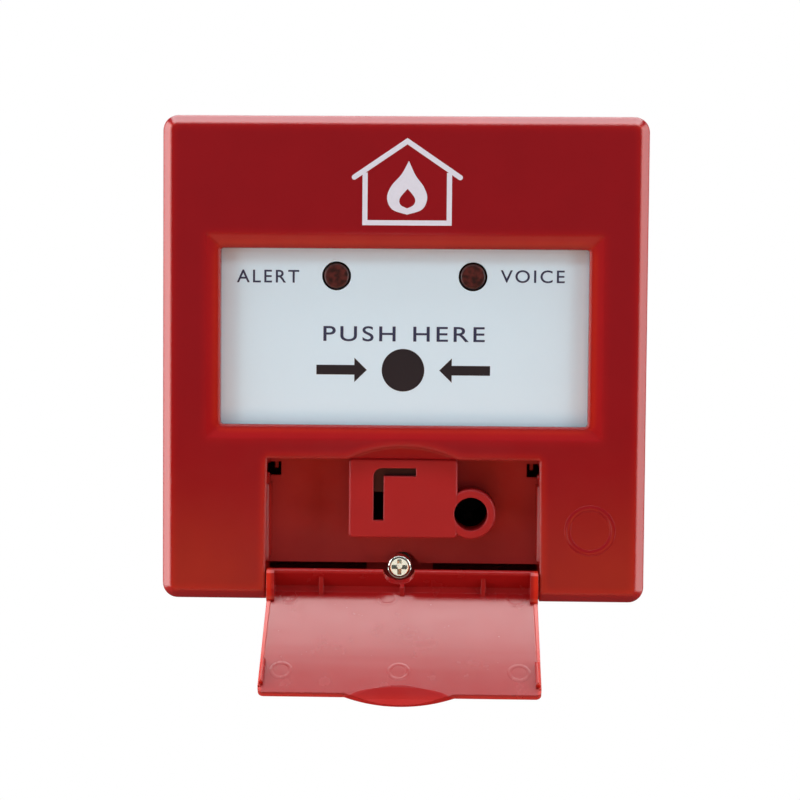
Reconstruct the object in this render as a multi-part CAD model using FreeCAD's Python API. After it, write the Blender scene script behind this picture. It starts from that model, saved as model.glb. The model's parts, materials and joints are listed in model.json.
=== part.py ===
# Manual call point, surface mounted, with a resettable press plate, a telephone jack and a hinged door.
# Frame: X to the right, Z up, the front faces -Y, and the wall is the plane Y = 0. Millimetres.
# The door is drawn hanging open on its stop, which is its rest position.
import FreeCAD, Part
import math
import os

V = FreeCAD.Vector

# ---- Driving dimensions -------------------------------------------------------------------
HALF = 47.5                 # half of the 95 mm square face
CORNER_R = 3.0              # vertical edges of cover and box
CHAMFER = 1.8               # chamfer round the front face
FRONT_Y = -45.0             # front face
SPLIT_Y = -19.0             # joint between cover and back box
WALL = 2.2                  # side walls of cover and box
FRONT_WALL = 2.6            # front wall of the cover
FRONT_IN_Y = FRONT_Y + FRONT_WALL
EDGE_R = 0.3                # softened edges

WINDOW_HALF_X = 36.1        # clear window of the press plate
WINDOW_HALF_Z = 17.3
WINDOW_Z = 4.35
BEVEL = 2.7                 # width of the bevel round the window
BEVEL_DEPTH = 1.0
WINDOW_R = 0.6

BAY_HALF_X = 27.05          # door bay, at its foot
BAY_HALF_X_TOP = 26.72      # it narrows a little towards the top
BAY_TOP_Z = -19.55
BAY_WALL = 1.8
BAY_BACK_Y = -36.5          # front of the panel at the back of the bay
SCOOP_R = 24.4              # finger scoop above the bay
SCOOP_APEX_Z = -17.05
SCOOP_TILT = 70.0
SCOOP_STEP = 1.2            # depth of the scoop's edge under the front face

HINGE_Y = -43.0             # door hinge axis, along X
HINGE_Z = -45.5
HINGE_PIN_R = 1.0
HINGE_HOLE_R = 1.06
DOOR_OPEN = 127.0           # degrees from shut to open
DOOR_GAP = 0.33             # between the door's edges and the bay
DOOR_HALF_X = BAY_HALF_X - DOOR_GAP
DOOR_PLATE = 1.2
DOOR_TOP_Z = -19.85
DOOR_FLANGE_Y = -39.05      # rear end of the door's bottom flange
GUSSET_X = (-16.0, 0.0, 16.0)
LATCH_Z0, LATCH_Z1 = -23.6, -20.85  # openings for a latch tool in the top corners of the bay
NUB_Z0, NUB_Z1 = -23.5, -22.6       # snap nubs at the foot of those openings

KEY_X0, KEY_X1 = -10.75, 10.8       # key block
KEY_TOP_Z, KEY_LOW_Z = -19.56, -35.35
KEY_FRONT_Y = -42.3
KEY_WALL = 1.8
KEY_FLOOR = 1.5                     # below the slider's spring
KEY_ROOF = 1.2
KEY_CORNER_R = 0.9
KEY_EDGE_R = 0.5                    # softened front edges of the block and collar
KEY_SPIGOT = 0.8                    # wall of the spigot in the panel's opening
SPIGOT_GAP = 0.05
SLOT_X0, SLOT_X1 = -5.86, -3.84     # upright leg of the key slot
SLOT_TOP_Z, SLOT_LOW_Z = -21.5, -31.9
SLOT_ARM_X1, SLOT_ARM_Z = 2.55, -23.1

JACK_X, JACK_Z = 13.45, -30.5
JACK_R = 3.3
JACK_BOSS_R = 4.95
JACK_FRONT_Y = -42.2
PANEL = 1.6                 # chassis panel thickness
PANEL_LOW_Z = -41.1
PANEL_REAR_Y = BAY_BACK_Y + PANEL

PLATE_FRONT_Y = -42.1       # press plate
PLATE_THICK = 2.0
PLATE_HALF_X = 37.6
PLATE_Z0, PLATE_Z1 = -14.45, 23.15
PIVOT_Y, PIVOT_Z = -39.9, 25.2
PIVOT_R = 1.0
LED_X = 13.42
LED_Z = 16.35
LED_R = 2.5
LED_HOLE_R = 2.85

BOARD_Y0, BOARD_Y1 = -27.0, -25.4   # circuit board
BOARD_HALF_X = 43.5
BOARD_Z0, BOARD_Z1 = -16.0, 42.0
BOARD_POSTS = ((-41.0, 38.5), (41.0, 38.5), (-41.0, -12.0), (41.0, -12.0))

CHASSIS_HALF_X = 40.6
CHASSIS_TOP_Z = -15.0
CHASSIS_SIDE_LOW_Z = -44.0
CHASSIS_POSTS = ((-36.5, -20.5), (36.5, -20.5), (-36.5, -40.0), (36.5, -40.0))

SCREW_X, SCREW_Z = -0.65, -41.55    # captive screw that holds the cover to the box
SCREW_HEAD_R = 2.5
SCREW_HEAD_Y0, SCREW_HEAD_Y1 = -39.6, -37.7
LUG_Y0, LUG_Y1 = -33.2, -31.2       # chassis lug that the screw passes through

BOX_FLOOR = 2.2
MOUNT_HALF_SPACING = 30.0           # wall screw slots, 60 mm apart
MOUNT_SLOT_R = 2.2
MOUNT_SLOT_LENGTH = 9.0
CABLE_R = 10.0
CABLE_Z = 21.0

SWITCH_X0, SWITCH_X1 = 17.0, 23.4   # microswitch
SWITCH_Z0, SWITCH_Z1 = -13.0, 7.0
SWITCH_FRONT_Y = -35.9
SWITCH_PIN_Z = (-10.0, -3.0, 4.0)
LEVER_PIVOT = (-36.6, 5.6)          # Y, Z
LEVER_LENGTH = 16.0
LEVER_LIFT = 9.2                    # degrees that the lever stands off the switch at rest
PLUNGER_X, PLUNGER_Z = 20.2, 1.0


# ---- Shape helpers ------------------------------------------------------------------------
def box(x0, x1, y0, y1, z0, z1):
    return Part.makeBox(x1 - x0, y1 - y0, z1 - z0, V(x0, y0, z0))


def cyl_x(y, z, r, x0, x1):
    return Part.makeCylinder(r, x1 - x0, V(x0, y, z), V(1, 0, 0))


def cyl_y(x, z, r, y0, y1):
    return Part.makeCylinder(r, y1 - y0, V(x, y0, z), V(0, 1, 0))


def cyl_z(x, y, r, z0, z1):
    return Part.makeCylinder(r, z1 - z0, V(x, y, z0), V(0, 0, 1))


def prism_x(points, x0, x1):
    """Prism along X from a closed outline of (y, z) points."""
    wire = Part.makePolygon([V(x0, y, z) for y, z in points] + [V(x0, *points[0])])
    return Part.Face(wire).extrude(V(x1 - x0, 0, 0))


def prism_y(points, y0, y1):
    """Prism along Y from a closed outline of (x, z) points."""
    wire = Part.makePolygon([V(x, y0, z) for x, z in points] + [V(points[0][0], y0, points[0][1])])
    return Part.Face(wire).extrude(V(0, y1 - y0, 0))


def rounded_y(x0, x1, z0, z1, radius, y0, y1):
    """Block along Y with its four edges along Y rounded."""
    block = box(x0, x1, y0, y1, z0, z1)
    return block.makeFillet(radius, [e for e in block.Edges if edge_along(e, "y")])


def edge_along(edge, axis):
    ends = [v.Point for v in edge.Vertexes]
    if len(ends) != 2:
        return False
    step = ends[1] - ends[0]
    others = [getattr(step, a) for a in "xyz" if a != axis]
    return max(abs(o) for o in others) < 1e-6


def edges_in(shape, low, high):
    """Edges that lie wholly between two corners."""
    found = []
    for edge in shape.Edges:
        b = edge.BoundBox
        inside_low = b.XMin >= low[0] and b.YMin >= low[1] and b.ZMin >= low[2]
        inside_high = b.XMax <= high[0] and b.YMax <= high[1] and b.ZMax <= high[2]
        if inside_low and inside_high:
            found.append(edge)
    return found


def fuse(first, *others):
    return first.fuse(list(others)).removeSplitter()


def cut(first, *others):
    return first.cut(list(others))


def mirror_x(shape):
    return shape.mirror(V(0, 0, 0), V(1, 0, 0))


def both_sides(shape):
    return [shape, mirror_x(shape)]


def solids(shapes):
    return Part.makeCompound([s for shape in shapes for s in shape.Solids])


def turn_about_x(shape, y, z, degrees):
    turned = shape.copy()
    turned.rotate(V(0, y, z), V(1, 0, 0), degrees)
    return turned


def cross_recess(x, z, y0, depth, reach, width):
    """Cross-shaped driver recess, tapered to a point, in a screw head that faces -Y."""
    arms = [box(x - reach, x + reach, y0, y0 + depth, z - width, z + width),
            box(x - width, x + width, y0, y0 + depth, z - reach, z + reach)]
    cone = Part.makeCone(reach, reach * 0.35, depth, V(x, y0, z), V(0, 1, 0))
    return arms[0].fuse(arms[1]).common(cone)


def pan_screw(x, z, head_y, away, head_r, head_h, shank_r, length):
    """Pan head screw along Y; `away` is the side on which its head stands (+1 or -1)."""
    into = V(0, -away, 0)
    head = Part.makeCylinder(head_r, head_h, V(x, head_y, z), V(0, away, 0))
    rim = [e for e in head.Edges if abs(e.BoundBox.YMin - head_y) > 1e-3 and len(e.Vertexes) == 1]
    head = head.makeFillet(head_h * 0.45, [e for e in rim if abs(e.BoundBox.YMax - head_y) > 1e-3])
    top = head_y + away * head_h
    slot_y = sorted((top - away * head_h * 0.55, top + away))
    recess = cross_recess(x, z, slot_y[0], slot_y[1] - slot_y[0], head_r * 0.62, head_r * 0.14)
    shank = Part.makeCylinder(shank_r, length, V(x, head_y, z), into)
    return fuse(cut(head, recess), shank)


# ---- Shells -------------------------------------------------------------------------------
def front_cover():
    body = rounded_y(-HALF, HALF, -HALF, HALF, CORNER_R, FRONT_Y, SPLIT_Y)
    rim = edges_in(body, (-99, FRONT_Y - 1, -99), (99, FRONT_Y + 0.01, 99))
    body = body.makeChamfer(CHAMFER, rim)
    soft = [e for e in body.Edges if e.BoundBox.YMax < FRONT_Y + CHAMFER + 0.01
            and e.BoundBox.YMax - e.BoundBox.YMin < 0.01]
    body = body.makeFillet(EDGE_R, soft)
    inner = HALF - WALL
    body = cut(body, rounded_y(-inner, inner, -inner, inner, CORNER_R - 1.0, FRONT_IN_Y, SPLIT_Y + 1))
    body = fuse(body, *bay_walls(), *cover_posts(), *pivot_brackets(), *cover_hooks())
    body = cut(body, window_opening(), *bay_opening(), scoop(), *latch_windows(), *post_holes(),
               *pivot_holes(), *hinge_holes())
    return fuse(body, *bay_rails(), *snap_nubs())


def window_opening():
    x, z0, z1 = WINDOW_HALF_X, WINDOW_Z - WINDOW_HALF_Z, WINDOW_Z + WINDOW_HALF_Z
    through = rounded_y(-x, x, z0, z1, WINDOW_R, FRONT_Y - 1, FRONT_IN_Y + 1)

    def outline(grow, y):
        corners = ((-x - grow, z0 - grow), (x + grow, z0 - grow), (x + grow, z1 + grow), (-x - grow, z1 + grow))
        return Part.makePolygon([V(cx, y, cz) for cx, cz in corners + corners[:1]])

    lead = 0.5
    bevel = Part.makeLoft([outline(BEVEL * (1 + lead), FRONT_Y - BEVEL_DEPTH * lead),
                           outline(0, FRONT_Y + BEVEL_DEPTH)], True)
    return fuse(through, bevel)


def bay_walls():
    side = box(BAY_HALF_X - 1, BAY_HALF_X + BAY_WALL, FRONT_IN_Y - 0.2, BAY_BACK_Y,
               -HALF + 0.5, BAY_TOP_Z + BAY_WALL)
    lid = box(KEY_X1 + 0.3, BAY_HALF_X + BAY_WALL, FRONT_IN_Y - 0.2, BAY_BACK_Y,
              BAY_TOP_Z - 0.5, BAY_TOP_Z + BAY_WALL)
    return both_sides(side) + both_sides(lid)


def bay_outline(gap, z0, z1):
    """The bay's tapered outline in X and Z, drawn in by a gap at the sides."""
    slope = (BAY_HALF_X - BAY_HALF_X_TOP) / (BAY_TOP_Z + HALF)
    low, high = (BAY_HALF_X - gap - slope * (z + HALF) for z in (z0, z1))
    return ((-low, z0), (low, z0), (high, z1), (-high, z1))


def bay_opening():
    front = prism_y(bay_outline(0, -HALF + WALL + 0.5, BAY_TOP_Z), FRONT_Y - 1, BAY_BACK_Y + 0.5)
    below = prism_y(bay_outline(0, -HALF - 1, -HALF + WALL + 1), FRONT_Y - 1, DOOR_FLANGE_Y + 0.5)
    return [front, below]


def scoop():
    """Shallow round dish that gives a fingertip room above the door's tab."""
    tilt = math.radians(SCOOP_TILT)
    axis = V(0, math.cos(tilt), -math.sin(tilt))
    reach = 2 * SCOOP_R / math.cos(tilt)
    edge = V(0, FRONT_Y + SCOOP_STEP, SCOOP_APEX_Z - SCOOP_R)
    dish = Part.makeCylinder(SCOOP_R * math.cos(tilt), 2 * reach, edge - axis * reach, axis)
    squeeze = FreeCAD.Matrix()
    squeeze.scale(V(1 / math.cos(tilt), 1, 1))
    dish = dish.transformGeometry(squeeze)
    rim = cyl_y(0, SCOOP_APEX_Z - SCOOP_R, SCOOP_R, FRONT_Y - 1, FRONT_IN_Y)
    return rim.common(dish).common(box(-HALF, HALF, FRONT_Y - 1, FRONT_IN_Y + 0.01, BAY_TOP_Z - 0.01, 0))


def bay_rails():
    """Raised rails down the sides of the bay, just clear of the shut door's ribs."""
    return both_sides(box(26.5, BAY_HALF_X + 0.2, -43.1, BAY_BACK_Y, -39.8, -24.9))


def latch_windows():
    """Openings through the bay's side walls, full depth above the nub and only behind it lower down."""
    x0, x1 = BAY_HALF_X_TOP - 0.3, BAY_HALF_X + BAY_WALL + 0.1
    above = box(x0, x1, -43.0, BAY_BACK_Y + 1, NUB_Z1 + 0.1, LATCH_Z1)
    behind = box(x0, x1, -40.8, BAY_BACK_Y + 1, LATCH_Z0, NUB_Z1 + 0.1)
    return both_sides(above.fuse(behind))


def snap_nubs():
    """Small nubs on the bay walls that the door's ribs ride behind."""
    outline = ((26.5, -41.8), (26.5, -41.3), (BAY_HALF_X + 0.1, -40.85), (BAY_HALF_X + 0.1, -42.2))
    face = Part.Face(Part.makePolygon([V(x, y, NUB_Z0) for x, y in outline + outline[:1]]))
    return both_sides(face.extrude(V(0, 0, NUB_Z1 - NUB_Z0)))


def cover_posts():
    posts = [cyl_y(x, z, 2.7, FRONT_IN_Y - 0.2, BAY_BACK_Y) for x, z in CHASSIS_POSTS]
    posts += [cyl_y(x, z, 2.7, FRONT_IN_Y - 0.2, BOARD_Y0) for x, z in BOARD_POSTS]
    return posts


def post_holes():
    pilot_r = 1.15
    holes = [cyl_y(x, z, pilot_r, FRONT_IN_Y + 0.8, BAY_BACK_Y + 1) for x, z in CHASSIS_POSTS]
    holes += [cyl_y(x, z, pilot_r, BOARD_Y0 - 8, BOARD_Y0 + 1) for x, z in BOARD_POSTS]
    return holes


def pivot_brackets():
    bracket = box(PLATE_HALF_X + 0.7, PLATE_HALF_X + 3.0, FRONT_IN_Y - 0.2, PIVOT_Y + 2.4,
                  PIVOT_Z - 2.6, PIVOT_Z + 2.6)
    return both_sides(bracket)


def pivot_holes():
    return [cyl_x(PIVOT_Y, PIVOT_Z, PIVOT_R + 0.02, -PLATE_HALF_X - 4, PLATE_HALF_X + 4)]


def hinge_holes():
    return both_sides(cyl_x(HINGE_Y, HINGE_Z, HINGE_HOLE_R, BAY_HALF_X - 0.5, BAY_HALF_X + 1.5))


def cover_hooks():
    rib = box(18.0, 26.0, -23.3, -22.3, HALF - WALL - 1.5, HALF - WALL + 0.5)
    return both_sides(rib)


def back_box():
    half = HALF - 0.3
    body = rounded_y(-half, half, -half, half, CORNER_R - 0.3, SPLIT_Y, 0)
    inner = half - WALL
    body = cut(body, rounded_y(-inner, inner, -inner, inner, CORNER_R - 1.2, SPLIT_Y - 1, -BOX_FLOOR))
    lip_out = HALF - WALL - 0.3
    lip = rounded_y(-lip_out, lip_out, -lip_out, lip_out, CORNER_R - 1.3, SPLIT_Y - 2.5, SPLIT_Y + 2)
    hollow = lip_out - 1.5
    lip = cut(lip, rounded_y(-hollow, hollow, -hollow, hollow, CORNER_R - 2.0, SPLIT_Y - 3, SPLIT_Y + 3))
    tower = cyl_y(SCREW_X, SCREW_Z, 4.4, SPLIT_Y - 3.0, -BOX_FLOOR + 0.2)
    tower = cut(tower, box(-HALF, HALF, SPLIT_Y - 4, SPLIT_Y + 1, -HALF, -lip_out))
    web = box(SCREW_X - 1, SCREW_X + 1, SPLIT_Y, -BOX_FLOOR + 0.2, -inner - 0.5, SCREW_Z - 3)
    body = fuse(body, lip, tower, web, *box_hooks())
    slots = [wall_slot(x) for x in (-MOUNT_HALF_SPACING, MOUNT_HALF_SPACING)]
    insert_hole = cyl_y(SCREW_X, SCREW_Z, 2.9, SPLIT_Y - 4, SPLIT_Y + 5)
    tail_hole = cyl_y(SCREW_X, SCREW_Z, 2.2, SPLIT_Y + 4, -BOX_FLOOR - 1)
    entry = cyl_y(0, CABLE_Z, CABLE_R, -BOX_FLOOR - 1, 1)
    return cut(body, insert_hole, tail_hole, entry, *slots, *knockout_rings())


def wall_slot(x):
    run = MOUNT_SLOT_LENGTH / 2 - MOUNT_SLOT_R
    ends = [cyl_y(x + side * run, 0, MOUNT_SLOT_R, -BOX_FLOOR - 1, 1) for side in (-1, 1)]
    bar = box(x - run, x + run, -BOX_FLOOR - 1, 1, -MOUNT_SLOT_R, MOUNT_SLOT_R)
    return fuse(ends[0], ends[1], bar)


def knockout_rings():
    """Ring grooves in the top and bottom walls that leave thin knockouts for cable glands."""
    rings = []
    for side, x in ((1, -20), (1, 20), (-1, -20), (-1, 20)):
        foot = V(x, -9.6, side * (HALF - 1.6))
        out = V(0, 0, side)
        rings.append(Part.makeCylinder(8.0, 4, foot, out).cut(Part.makeCylinder(7.3, 4, foot, out)))
    return rings


def box_hooks():
    top = HALF - WALL - 0.3
    stem = box(18.0, 26.0, -25.0, SPLIT_Y - 1, top - 3.2, top - 1.7)
    lip = box(18.0, 26.0, -25.0, -23.6, top - 2.0, top - 0.5)
    foot = box(18.0, 26.0, SPLIT_Y - 2.4, SPLIT_Y - 1, top - 3.2, top - 1.0)
    return both_sides(fuse(stem, lip, foot))


# ---- Bay panel with key block and jack boss ------------------------------------------------
def chassis():
    """Panel at the back of the bay, with the shelf for the captive screw behind it."""
    panel = box(-CHASSIS_HALF_X, CHASSIS_HALF_X, BAY_BACK_Y, PANEL_REAR_Y, PANEL_LOW_Z, CHASSIS_TOP_Z)
    ears = [box(x0, x0 + 12, BAY_BACK_Y, PANEL_REAR_Y, CHASSIS_SIDE_LOW_Z, PANEL_LOW_Z + 1)
            for x0 in (-CHASSIS_HALF_X, CHASSIS_HALF_X - 12)]
    body = fuse(panel, *ears, *lug())
    y0, y1 = BAY_BACK_Y - 1, PANEL_REAR_Y + 1
    window = key_hollow(KEY_SPIGOT + SPIGOT_GAP, y0, y1)
    jack_hole = cyl_y(JACK_X, JACK_Z, JACK_R, y0, y1)
    screw_way = cyl_y(0.1, -42.0, 3.1, y0, y1)
    lug_hole = cyl_y(SCREW_X, SCREW_Z, 2.3, LUG_Y0 - 1, LUG_Y1 + 1)
    screws = [cyl_y(x, z, 1.4, y0, y1) for x, z in CHASSIS_POSTS]
    body = cut(body, window, cam_way(), jack_hole, screw_way, lug_hole, *latch_slots(), *screws)
    return fuse(body, *latch_posts())


def key_hollow(grow, y0, y1):
    """Space of the reset slider behind the key slot, grown sideways by some wall."""
    return box(KEY_X0 + KEY_WALL - grow, KEY_X1 - KEY_WALL + grow, y0, y1,
               KEY_LOW_Z + KEY_FLOOR - grow, KEY_TOP_Z - KEY_ROOF + grow)


def cam_way():
    """Passage down into the key block for the press plate's cam."""
    return box(-0.2, 2.9, BAY_BACK_Y - 2.5, PANEL_REAR_Y + 1, KEY_TOP_Z - 2, CHASSIS_TOP_Z + 1)


def key_bezel():
    """Key block with the jack's collar, located in the panel by a hollow spigot."""
    block = rounded_y(KEY_X0, KEY_X1, KEY_LOW_Z, KEY_TOP_Z, KEY_CORNER_R, KEY_FRONT_Y, BAY_BACK_Y)
    rim = edges_in(block, (-99, KEY_FRONT_Y - 0.1, -99), (99, KEY_FRONT_Y + 0.1, 99))
    block = block.makeFillet(KEY_EDGE_R, rim)
    boss = cyl_y(JACK_X, JACK_Z, JACK_BOSS_R, JACK_FRONT_Y, BAY_BACK_Y)
    rim = [e for e in boss.Edges if e.BoundBox.YMax < JACK_FRONT_Y + 0.1]
    boss = boss.makeFillet(KEY_EDGE_R, rim)
    spigot = key_hollow(KEY_SPIGOT, BAY_BACK_Y - 0.5, PANEL_REAR_Y)
    hollow = key_hollow(0, KEY_FRONT_Y + KEY_WALL, PANEL_REAR_Y + 1)
    jack_hole = cyl_y(JACK_X, JACK_Z, JACK_R, JACK_FRONT_Y - 1, BAY_BACK_Y + 1)
    return cut(fuse(block, boss, spigot), hollow, cam_way(), jack_hole, key_slot())


def key_slot():
    upright = box(SLOT_X0, SLOT_X1, KEY_FRONT_Y - 1, KEY_FRONT_Y + KEY_WALL + 0.5, SLOT_LOW_Z, SLOT_TOP_Z)
    arm = box(SLOT_X0, SLOT_ARM_X1, KEY_FRONT_Y - 1, KEY_FRONT_Y + KEY_WALL + 0.5, SLOT_ARM_Z, SLOT_TOP_Z)
    slot = fuse(upright, arm)
    corner = [e for e in slot.Edges if edge_along(e, "y")
              and abs(e.BoundBox.XMin - SLOT_X0) < 0.01 and abs(e.BoundBox.ZMin - SLOT_TOP_Z) < 0.01]
    return slot.makeFillet(1.7, corner)


def latch_slots():
    """Tool openings behind the snap nubs, in the top corners of the bay."""
    return both_sides(box(24.7, BAY_HALF_X + 1.5, BAY_BACK_Y - 1, PANEL_REAR_Y + 1, LATCH_Z0, LATCH_Z1))


def latch_posts():
    return both_sides(box(25.4, 26.05, PANEL_REAR_Y - 0.5, PANEL_REAR_Y, -22.2, LATCH_Z1 + 0.3))


def lug():
    """Shelf and cross wall under the panel that take the captive screw."""
    shelf = box(-7.5, 6.0, PANEL_REAR_Y - 0.5, LUG_Y1, -38.2, -36.7)
    tongue = box(-7.5, 6.0, LUG_Y0, LUG_Y1, -45.0, -37.0)
    return [shelf, tongue]


def chassis_screws():
    return solids([pan_screw(x, z, PANEL_REAR_Y, 1, 2.6, 1.7, 1.1, 6.0) for x, z in CHASSIS_POSTS])


# ---- Door ---------------------------------------------------------------------------------
def door():
    """Drawn shut, then turned about its hinge to hang open."""
    inner_y = FRONT_Y + DOOR_PLATE
    inner_z = -HALF + DOOR_PLATE
    half = DOOR_HALF_X
    throat = 0.8
    round_end = 0.5
    section = ((FRONT_Y, DOOR_TOP_Z), (FRONT_Y, -HALF + CHAMFER), (FRONT_Y + CHAMFER, -HALF),
               (DOOR_FLANGE_Y, -HALF), (DOOR_FLANGE_Y, inner_z), (inner_y + throat, inner_z),
               (inner_y, inner_z + throat), (inner_y, DOOR_TOP_Z))
    body = prism_x(section, -half, half)
    rear = [e for e in body.Edges if edge_along(e, "x") and e.BoundBox.YMin > DOOR_FLANGE_Y - 0.01]
    body = body.makeFillet(round_end, rear)
    body = body.common(prism_y(bay_outline(DOOR_GAP, -HALF - 1, DOOR_TOP_Z), FRONT_Y - 1, 0))
    far = [e for e in body.Edges if edge_along(e, "y") and e.BoundBox.ZMin > DOOR_TOP_Z - 0.01]
    body = body.makeFillet(1.1, far)
    body = fuse(body, door_tab(), *door_cheeks(), *door_gussets(), *door_rims(), *latch_ribs())
    body = cut(body, tab_dish(), screw_notch())
    pins = both_sides(cyl_x(HINGE_Y, HINGE_Z, HINGE_PIN_R, half - 1.0, BAY_HALF_X + 1.1))
    return turn_about_x(fuse(body, *pins), HINGE_Y, HINGE_Z, DOOR_OPEN)


TAB_HALF_CHORD, TAB_RISE, TAB_EDGE = 10.2, 2.1, 0.4


def door_tab():
    """Finger tab: a shallow arc on the free edge."""
    chord = TAB_HALF_CHORD
    left, top, right = (V(x, FRONT_Y, DOOR_TOP_Z + z) for x, z in ((-chord, 0), (0, TAB_RISE), (chord, 0)))
    root = [V(chord, FRONT_Y, DOOR_TOP_Z - 1), V(-chord, FRONT_Y, DOOR_TOP_Z - 1)]
    edges = [Part.Arc(left, top, right).toShape(), Part.makeLine(right, root[0]),
             Part.makeLine(root[0], root[1]), Part.makeLine(root[1], left)]
    return Part.Face(Part.Wire(edges)).extrude(V(0, DOOR_PLATE, 0))


def tab_dish():
    """Trough in the inner face of the tab, deepest at the free edge, where a fingertip pulls."""
    depth = DOOR_PLATE - TAB_EDGE
    run = 2 * TAB_RISE
    tilt = math.atan2(depth, run)
    radius = (TAB_HALF_CHORD ** 2 + depth ** 2) / (2 * depth)
    floor = V(0, FRONT_Y + TAB_EDGE, DOOR_TOP_Z + TAB_RISE)
    along = V(0, math.sin(tilt), -math.cos(tilt))
    centre = floor + V(0, math.cos(tilt), math.sin(tilt)) * radius
    return Part.makeCylinder(radius, 2 * run, centre - along * run * 0.5, along)


def door_cheeks():
    """End plates of the hinge flange, which carry the hinge pins."""
    thick = 1.55
    disc = cyl_x(HINGE_Y, HINGE_Z, 2.0, DOOR_HALF_X - thick, DOOR_HALF_X)
    web = prism_x(((FRONT_Y + 0.8, -42.7), (-43.2, -42.7), (-41.2, -43.9), (-38.9, -45.6),
                   (-38.8, -46.6), (FRONT_Y + 1.5, -46.6)), DOOR_HALF_X - thick, DOOR_HALF_X)
    return both_sides(disc.fuse(web).common(box(0, HALF, FRONT_Y, 0, -HALF + 0.3, 0)))


def door_gussets():
    half_thick, on_flange, on_plate, bury = 0.42, 3.3, 1.9, 0.5
    y, z = FRONT_Y + DOOR_PLATE, -HALF + DOOR_PLATE
    outline = ((y - bury, z - bury), (y + on_flange, z - bury), (y + on_flange, z), (y, z + on_plate),
               (y - bury, z + on_plate))
    return [prism_x(outline, x - half_thick, x + half_thick) for x in GUSSET_X]


def door_rims():
    y = FRONT_Y + DOOR_PLATE
    rim = box(BAY_HALF_X_TOP - DOOR_GAP - 0.5, BAY_HALF_X, y - 0.2, y + 0.25, -42.8, DOOR_TOP_Z - 1.3)
    trim = prism_y(bay_outline(DOOR_GAP, -HALF, DOOR_TOP_Z), FRONT_Y, 0)
    return both_sides(rim.common(trim))


def latch_ribs():
    """Short ribs near the free edge that hold the shut door behind the bay's nubs."""
    rib = box(25.4, 26.2, FRONT_Y + DOOR_PLATE - 0.2, FRONT_Y + DOOR_PLATE + 1.2, -27.2, -21.6)
    return both_sides(rib.makeChamfer(0.3, edges_in(rib, (25.3, -42.7, -28), (26.3, -42.5, -21))))


def screw_notch():
    """Round ended gap in the flange that swings past the head of the captive screw."""
    radius, depth = 3.1, 3.25
    y = DOOR_FLANGE_Y - depth + radius
    z0, z1 = -HALF - 1, -HALF + DOOR_PLATE + 2.5
    return fuse(cyl_z(SCREW_X, y, radius, z0, z1),
                box(SCREW_X - radius, SCREW_X + radius, y, DOOR_FLANGE_Y + 0.5, z0, z1))


# ---- Press plate and its mechanism ---------------------------------------------------------
CAM_PEG = (-34.0, -12.2)        # Y, Z of the peg that drives the reset slider
CAM_RUN = (2.92, 3.52)          # the peg's path in the slider's slot
SLIDER_WEB_X0, SLIDER_WEB_X1 = 0.6, 2.1
SLIDER_LOW_Z, SLIDER_TOP_Z = -26.4, -21.3
SLIDER_SPRING_Y = -36.9


def press_plate():
    rear = PLATE_FRONT_Y + PLATE_THICK
    body = rounded_y(-PLATE_HALF_X, PLATE_HALF_X, PLATE_Z0, PLATE_Z1, 1.0, PLATE_FRONT_Y, rear)
    ribs = [box(-PLATE_HALF_X + 1, PLATE_HALF_X - 1, rear - 0.2, rear + 0.8, z, z + 1.0) for z in (-13.7, 20.5)]
    ribs += both_sides(box(PLATE_HALF_X - 2, PLATE_HALF_X - 1, rear - 0.2, rear + 0.8, -13.7, 21.0))
    knuckles = []
    for x in (-34.0, 28.0):
        knuckles.append(cyl_x(PIVOT_Y, PIVOT_Z, 2.0, x, x + 6))
        knuckles.append(box(x, x + 6, PLATE_FRONT_Y + 0.6, PIVOT_Y + 1.2, PLATE_Z1 - 2, PIVOT_Z))
    pusher = box(18.6, 21.8, rear - 0.2, rear + 0.45, -10.2, -7.8)
    arm = box(-1.2, 0.2, rear - 0.2, CAM_PEG[0] + 1.0, CAM_PEG[1] - 1.3, CAM_PEG[1] + 1.3)
    peg = cyl_x(CAM_PEG[0], CAM_PEG[1], 0.8, 0.1, SLIDER_WEB_X1 + 0.4)
    body = fuse(body, *ribs, *knuckles, pusher, arm, peg)
    leds = [cyl_y(x, LED_Z, LED_HOLE_R, PLATE_FRONT_Y - 1, rear + 2) for x in (-LED_X, LED_X)]
    return cut(body, *leds, cyl_x(PIVOT_Y, PIVOT_Z, PIVOT_R + 0.06, -40, 40))


def pivot_rod():
    rod = cyl_x(PIVOT_Y, PIVOT_Z, PIVOT_R, -PLATE_HALF_X - 2.8, PLATE_HALF_X + 2.8)
    return rod.makeChamfer(0.25, [e for e in rod.Edges if len(e.Vertexes) == 1])


def return_spring():
    """Torsion spring on the pivot rod: a long leg down the back of the plate, a short one up."""
    wire_r, mean_r, width, turns = 0.3, 1.7, 4.8, 6
    down, up = 11.0, 4.0
    helix = Part.makeHelix(width / turns, width, mean_r)
    legs = [Part.makeLine(V(mean_r, -down, 0), V(mean_r, 0, 0)),
            Part.makeLine(V(mean_r, 0, width), V(mean_r, up, width))]
    path = Part.Wire([legs[0]] + helix.Edges + [legs[1]])
    profile = Part.Wire([Part.makeCircle(wire_r, V(mean_r, -down, 0), V(0, 1, 0))])
    spring = path.makePipeShell([profile], True, False, 0)
    spring.Placement = FreeCAD.Placement(V(-width / 2, PIVOT_Y, PIVOT_Z),
                                         FreeCAD.Rotation(V(0, 0, 1), V(1, 0, 0)))
    return turn_about_x(spring, PIVOT_Y, PIVOT_Z, 90)


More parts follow.
